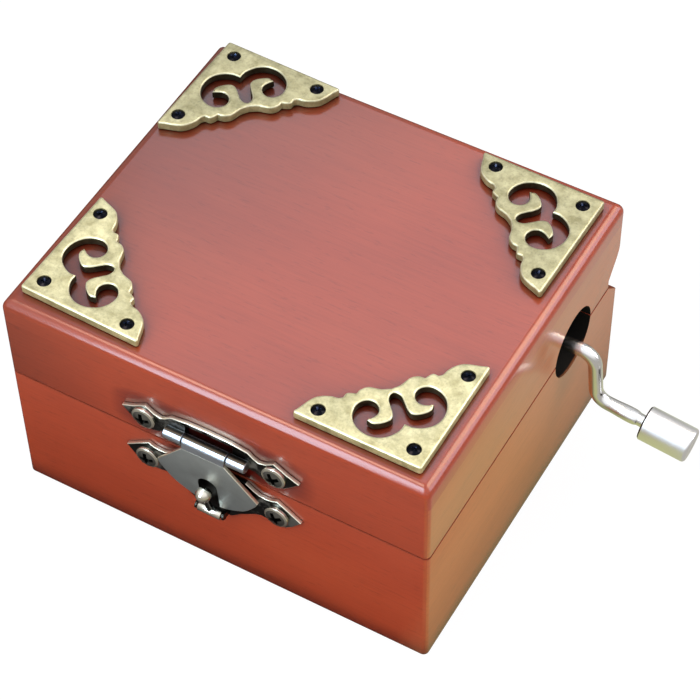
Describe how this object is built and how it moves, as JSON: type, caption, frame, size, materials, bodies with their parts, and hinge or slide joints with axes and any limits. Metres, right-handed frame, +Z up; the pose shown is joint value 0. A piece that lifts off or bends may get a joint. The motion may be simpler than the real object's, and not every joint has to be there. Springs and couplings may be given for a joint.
{
  "type": "hand cranked music box",
  "caption": "Small hinged wooden box with a hand-cranked comb movement, pierced corner brackets on the lid and a hasp with a swinging ball catch.",
  "frame": {"origin": "centre of the case's underside", "axes": "+X along the front towards the crank, +Y from front to back, +Z up"},
  "size_m": [0.1118, 0.0799, 0.0519],
  "materials": {
    "stained_wood": "gloss lacquer over reddish-brown stain",
    "plain_wood": "unfinished plywood",
    "antique_brass": "antiqued, dark in the recesses",
    "blackened_steel": "blackened",
    "gunmetal": "polished dark bronze plating",
    "nickel_plate": "bright nickel plate",
    "yellow_brass": "plain",
    "cast_frame": "cast zinc alloy",
    "bright_steel": "ground"
  },
  "bodies": {
    "base": {"base_front_wall": "stained_wood", "base_right_wall": "stained_wood", "base_back_wall": "stained_wood", "base_left_wall": "stained_wood", "base_floor": "plain_wood", "cleat_left": "plain_wood", "cleat_right": "plain_wood", "deck": "plain_wood", "bedplate": "cast_frame", "bed_screw_1": "bright_steel", "bed_screw_2": "bright_steel", "comb_block": "cast_frame", "comb": "bright_steel", "comb_screw_1": "bright_steel", "comb_screw_2": "bright_steel", "catch_plate": "gunmetal", "catch_pin": "gunmetal", "catch_screw_left": "gunmetal", "catch_screw_right": "gunmetal", "hinge_base_leaf_left": "yellow_brass", "hinge_base_leaf_right": "yellow_brass", "hinge_pin_left": "yellow_brass", "hinge_pin_right": "yellow_brass"},
    "lid": {"lid_panel": "stained_wood", "lid_front_wall": "stained_wood", "lid_right_wall": "stained_wood", "lid_back_wall": "stained_wood", "lid_left_wall": "stained_wood", "bracket_front_left": "antique_brass", "bracket_front_right": "antique_brass", "bracket_back_right": "antique_brass", "bracket_back_left": "antique_brass", "bracket_screw_front_left_1": "blackened_steel", "bracket_screw_front_left_2": "blackened_steel", "bracket_screw_front_left_3": "blackened_steel", "bracket_screw_front_right_1": "blackened_steel", "bracket_screw_front_right_2": "blackened_steel", "bracket_screw_front_right_3": "blackened_steel", "bracket_screw_back_right_1": "blackened_steel", "bracket_screw_back_right_2": "blackened_steel", "bracket_screw_back_right_3": "blackened_steel", "bracket_screw_back_left_1": "blackened_steel", "bracket_screw_back_left_2": "blackened_steel", "bracket_screw_back_left_3": "blackened_steel", "hasp_plate": "gunmetal", "hasp_pin": "gunmetal", "hasp_screw_left": "gunmetal", "hasp_screw_right": "gunmetal", "hinge_lid_leaf_left": "yellow_brass", "hinge_lid_leaf_right": "yellow_brass"},
    "flap": {"hasp_flap": "gunmetal"},
    "catch": {"catch_lever": "gunmetal"},
    "crank": {"crank_rod": "nickel_plate", "worm_shaft": "bright_steel"},
    "knob": {"crank_knob": "nickel_plate"},
    "cylinder": {"pinned_cylinder": "yellow_brass", "cylinder_wheel": "yellow_brass", "cylinder_arbor": "bright_steel"}
  },
  "joints": [
    {"name": "lid_hinge", "type": "hinge", "parent": "base", "child": "lid", "pos_m": [0, 0.03385, 0.03165], "axis": [-1, 0, 0], "range_deg": [0, 105]},
    {"name": "flap_hinge", "type": "hinge", "parent": "lid", "child": "flap", "pos_m": [0, -0.03915, 0.0369], "axis": [-1, 0, 0], "range_deg": [0, 150]},
    {"name": "catch_hinge", "type": "hinge", "parent": "base", "child": "catch", "pos_m": [0, -0.03945, 0.01895], "axis": [1, 0, 0], "range_deg": [0, 95]},
    {"name": "crank_turn", "type": "hinge", "parent": "base", "child": "crank", "pos_m": [0.03, 0.01775, 0.03], "axis": [1, 0, 0], "continuous": true},
    {"name": "knob_spin", "type": "hinge", "parent": "crank", "child": "knob", "pos_m": [0.04875, 0.01775, 0.0182], "axis": [0.9923, 0, -0.1236], "continuous": true},
    {"name": "cylinder_turn", "type": "hinge", "parent": "base", "child": "cylinder", "pos_m": [0.014, 0, 0.0223], "axis": [0, 1, 0], "continuous": true}
  ],
  "couplings": [
    {"joint": "cylinder_turn", "follows": "crank_turn", "ratio": -0.05}
  ]
}
